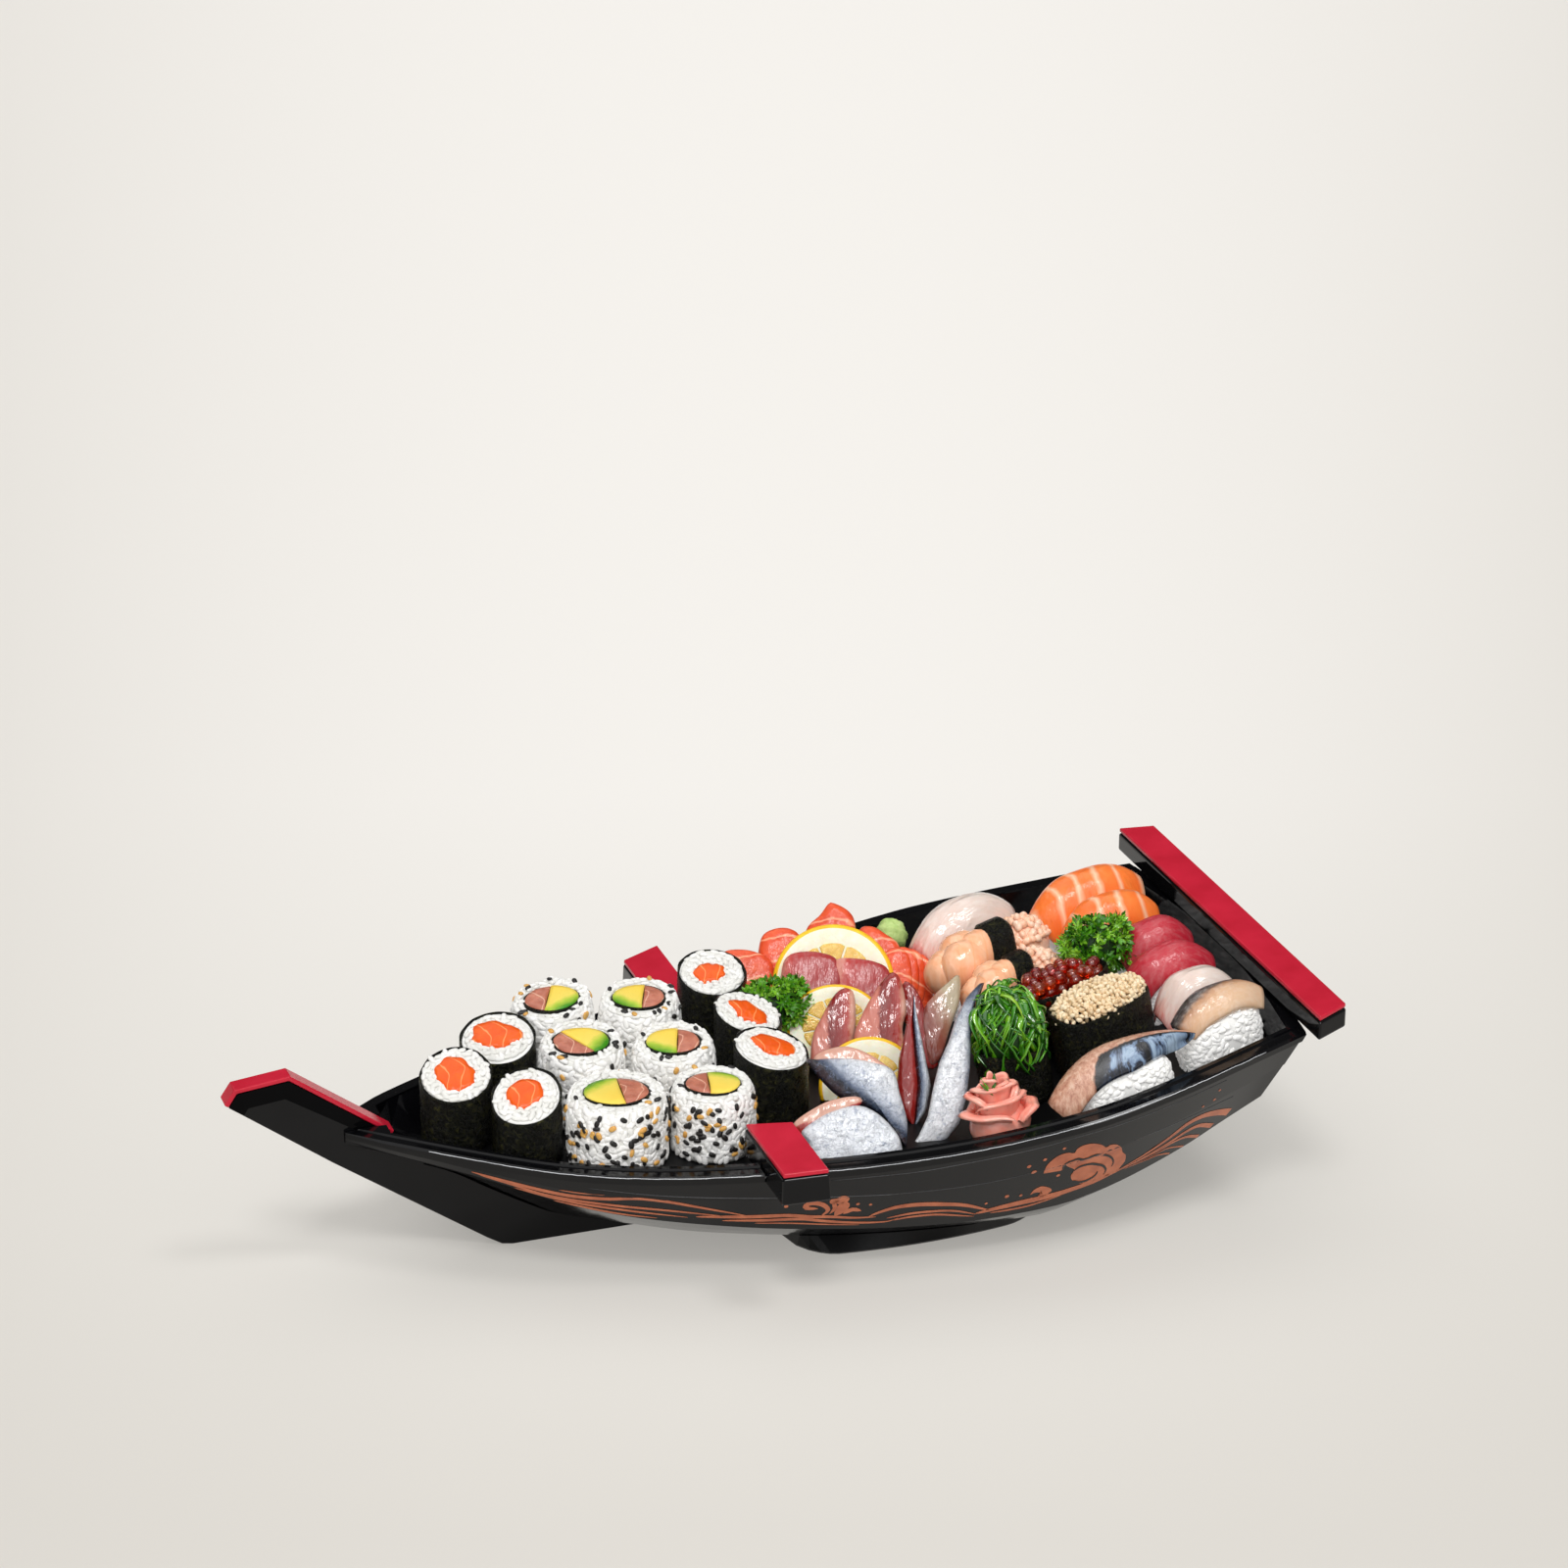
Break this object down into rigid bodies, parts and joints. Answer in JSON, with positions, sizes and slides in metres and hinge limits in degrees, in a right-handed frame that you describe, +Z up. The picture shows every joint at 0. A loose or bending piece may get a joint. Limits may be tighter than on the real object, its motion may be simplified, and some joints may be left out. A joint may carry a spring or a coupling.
{
  "type": "sushi boat",
  "caption": "Black serving boat with red-topped stem, beam blocks and stern bar, loaded with rolls, nigiri, gunkan and a fan of sashimi that each lift off its deck.",
  "frame": {"origin": "middle of the overall box at table level", "axes": "+X towards the stern, along the length; +Y to starboard; +Z up"},
  "size_m": [0.4262, 0.2156, 0.1022],
  "materials": {
    "black_gloss": "black gloss lacquer on moulded plastic",
    "black_satin": "black satin moulded plastic",
    "red_gloss": "deep red gloss lacquer",
    "sushi_rice": "cooked rice, soft and slightly glossy",
    "nori": "toasted seaweed sheet round rice",
    "salmon": "raw salmon, moist",
    "tuna": "raw tuna, moist",
    "white_fish": "raw white fish, moist",
    "shrimp": "cooked shrimp, moist",
    "silver_fish": "silver fish skin, moist",
    "red_fish": "raw horse mackerel, moist",
    "seared_fish": "seared mackerel, moist",
    "lemon": "lemon flesh and peel",
    "leaf": "fresh parsley leaf",
    "seaweed": "wet green seaweed strands on nori",
    "roe": "glossy salmon roe on nori",
    "crumb": "dry crumbled topping on nori",
    "ginger": "pickled ginger, moist",
    "wasabi": "wasabi paste, matt"
  },
  "bodies": {
    "boat": {"hull_shell": "black_gloss", "deck_board": "black_satin", "keel_foot": "black_satin", "stem_post": "black_gloss", "stem_cap": "red_gloss", "port_beam_block": "black_gloss", "port_beam_cap": "red_gloss", "starboard_beam_block": "black_gloss", "starboard_beam_cap": "red_gloss", "stern_bar": "black_gloss", "stern_bar_cap": "red_gloss"},
    "salmon_roll_1_piece": {"salmon_roll_1": "nori"},
    "salmon_roll_2_piece": {"salmon_roll_2": "nori"},
    "salmon_roll_3_piece": {"salmon_roll_3": "nori"},
    "salmon_roll_4_piece": {"salmon_roll_4": "nori"},
    "salmon_roll_5_piece": {"salmon_roll_5": "nori"},
    "salmon_roll_6_piece": {"salmon_roll_6": "nori"},
    "rice_roll_1_piece": {"rice_roll_1": "sushi_rice"},
    "rice_roll_2_piece": {"rice_roll_2": "sushi_rice"},
    "rice_roll_3_piece": {"rice_roll_3": "sushi_rice"},
    "rice_roll_4_piece": {"rice_roll_4": "sushi_rice"},
    "rice_roll_5_piece": {"rice_roll_5": "sushi_rice"},
    "rice_roll_6_piece": {"rice_roll_6": "sushi_rice"},
    "sea_bream_nigiri_1_piece": {"sea_bream_nigiri_1": "white_fish"},
    "salmon_nigiri_1_piece": {"salmon_nigiri_1": "salmon"},
    "salmon_nigiri_2_piece": {"salmon_nigiri_2": "salmon"},
    "shrimp_nigiri_1_piece": {"shrimp_nigiri_1": "shrimp"},
    "shrimp_nigiri_2_piece": {"shrimp_nigiri_2": "shrimp"},
    "tuna_nigiri_1_piece": {"tuna_nigiri_1": "tuna"},
    "tuna_nigiri_2_piece": {"tuna_nigiri_2": "tuna"},
    "sea_bream_nigiri_2_piece": {"sea_bream_nigiri_2": "white_fish"},
    "seaweed_gunkan_piece": {"seaweed_gunkan": "seaweed"},
    "salmon_roe_gunkan_piece": {"salmon_roe_gunkan": "roe"},
    "crumb_gunkan_piece": {"crumb_gunkan": "crumb"},
    "seared_mackerel_nigiri": {"mackerel_rice_1": "sushi_rice", "seared_mackerel_fillet": "seared_fish"},
    "cured_mackerel_nigiri": {"mackerel_rice_2": "sushi_rice", "cured_mackerel_fillet": "silver_fish"},
    "parsley_sprig_2_piece": {"parsley_sprig_2": "leaf"},
    "wasabi_ball_piece": {"wasabi_ball": "wasabi"},
    "ginger_rose_piece": {"ginger_rose": "ginger"},
    "sashimi_arrangement": {"salmon_slice_1": "salmon", "salmon_slice_2": "salmon", "salmon_slice_3": "salmon", "salmon_slice_4": "salmon", "salmon_slice_5": "salmon", "lemon_slice_1": "lemon", "tuna_slice_1": "tuna", "tuna_slice_2": "tuna", "lemon_slice_2": "lemon", "horse_mackerel_slice_1": "red_fish", "horse_mackerel_slice_2": "red_fish", "horse_mackerel_slice_3": "red_fish", "lemon_slice_3": "lemon", "horse_mackerel_fillet_1": "red_fish", "horse_mackerel_fillet_2": "silver_fish", "horse_mackerel_fillet_3": "silver_fish", "horse_mackerel_fillet_4": "silver_fish", "parsley_sprig_1": "leaf"}
  },
  "joints": [
    {"name": "salmon_roll_1_lift", "type": "slide", "parent": "boat", "child": "salmon_roll_1_piece", "axis": [0, 0, 1], "range_m": [0, 0.12]},
    {"name": "salmon_roll_2_lift", "type": "slide", "parent": "boat", "child": "salmon_roll_2_piece", "axis": [0, 0, 1], "range_m": [0, 0.12]},
    {"name": "salmon_roll_3_lift", "type": "slide", "parent": "boat", "child": "salmon_roll_3_piece", "axis": [0, 0, 1], "range_m": [0, 0.12]},
    {"name": "salmon_roll_4_lift", "type": "slide", "parent": "boat", "child": "salmon_roll_4_piece", "axis": [0, 0, 1], "range_m": [0, 0.12]},
    {"name": "salmon_roll_5_lift", "type": "slide", "parent": "boat", "child": "salmon_roll_5_piece", "axis": [0, 0, 1], "range_m": [0, 0.12]},
    {"name": "salmon_roll_6_lift", "type": "slide", "parent": "boat", "child": "salmon_roll_6_piece", "axis": [0, 0, 1], "range_m": [0, 0.12]},
    {"name": "rice_roll_1_lift", "type": "slide", "parent": "boat", "child": "rice_roll_1_piece", "axis": [0, 0, 1], "range_m": [0, 0.12]},
    {"name": "rice_roll_2_lift", "type": "slide", "parent": "boat", "child": "rice_roll_2_piece", "axis": [0, 0, 1], "range_m": [0, 0.12]},
    {"name": "rice_roll_3_lift", "type": "slide", "parent": "boat", "child": "rice_roll_3_piece", "axis": [0, 0, 1], "range_m": [0, 0.12]},
    {"name": "rice_roll_4_lift", "type": "slide", "parent": "boat", "child": "rice_roll_4_piece", "axis": [0, 0, 1], "range_m": [0, 0.12]},
    {"name": "rice_roll_5_lift", "type": "slide", "parent": "boat", "child": "rice_roll_5_piece", "axis": [0, 0, 1], "range_m": [0, 0.12]},
    {"name": "rice_roll_6_lift", "type": "slide", "parent": "boat", "child": "rice_roll_6_piece", "axis": [0, 0, 1], "range_m": [0, 0.12]},
    {"name": "sea_bream_nigiri_1_lift", "type": "slide", "parent": "boat", "child": "sea_bream_nigiri_1_piece", "axis": [0, 0, 1], "range_m": [0, 0.12]},
    {"name": "salmon_nigiri_1_lift", "type": "slide", "parent": "boat", "child": "salmon_nigiri_1_piece", "axis": [0, 0, 1], "range_m": [0, 0.12]},
    {"name": "salmon_nigiri_2_lift", "type": "slide", "parent": "boat", "child": "salmon_nigiri_2_piece", "axis": [0, 0, 1], "range_m": [0, 0.12]},
    {"name": "shrimp_nigiri_1_lift", "type": "slide", "parent": "boat", "child": "shrimp_nigiri_1_piece", "axis": [0, 0, 1], "range_m": [0, 0.12]},
    {"name": "shrimp_nigiri_2_lift", "type": "slide", "parent": "boat", "child": "shrimp_nigiri_2_piece", "axis": [0, 0, 1], "range_m": [0, 0.12]},
    {"name": "tuna_nigiri_1_lift", "type": "slide", "parent": "boat", "child": "tuna_nigiri_1_piece", "axis": [0, 0, 1], "range_m": [0, 0.12]},
    {"name": "tuna_nigiri_2_lift", "type": "slide", "parent": "boat", "child": "tuna_nigiri_2_piece", "axis": [0, 0, 1], "range_m": [0, 0.12]},
    {"name": "sea_bream_nigiri_2_lift", "type": "slide", "parent": "boat", "child": "sea_bream_nigiri_2_piece", "axis": [0, 0, 1], "range_m": [0, 0.12]},
    {"name": "seaweed_gunkan_lift", "type": "slide", "parent": "boat", "child": "seaweed_gunkan_piece", "axis": [0, 0, 1], "range_m": [0, 0.12]},
    {"name": "salmon_roe_gunkan_lift", "type": "slide", "parent": "boat", "child": "salmon_roe_gunkan_piece", "axis": [0, 0, 1], "range_m": [0, 0.12]},
    {"name": "crumb_gunkan_lift", "type": "slide", "parent": "boat", "child": "crumb_gunkan_piece", "axis": [0, 0, 1], "range_m": [0, 0.12]},
    {"name": "seared_mackerel_nigiri_lift", "type": "slide", "parent": "boat", "child": "seared_mackerel_nigiri", "axis": [0, 0, 1], "range_m": [0, 0.12]},
    {"name": "cured_mackerel_nigiri_lift", "type": "slide", "parent": "boat", "child": "cured_mackerel_nigiri", "axis": [0, 0, 1], "range_m": [0, 0.12]},
    {"name": "parsley_sprig_2_lift", "type": "slide", "parent": "boat", "child": "parsley_sprig_2_piece", "axis": [0, 0, 1], "range_m": [0, 0.12]},
    {"name": "wasabi_ball_lift", "type": "slide", "parent": "boat", "child": "wasabi_ball_piece", "axis": [0, 0, 1], "range_m": [0, 0.12]},
    {"name": "ginger_rose_lift", "type": "slide", "parent": "boat", "child": "ginger_rose_piece", "axis": [0, 0, 1], "range_m": [0, 0.12]},
    {"name": "sashimi_arrangement_lift", "type": "slide", "parent": "boat", "child": "sashimi_arrangement", "axis": [0, 0, 1], "range_m": [0, 0.12]}
  ]
}
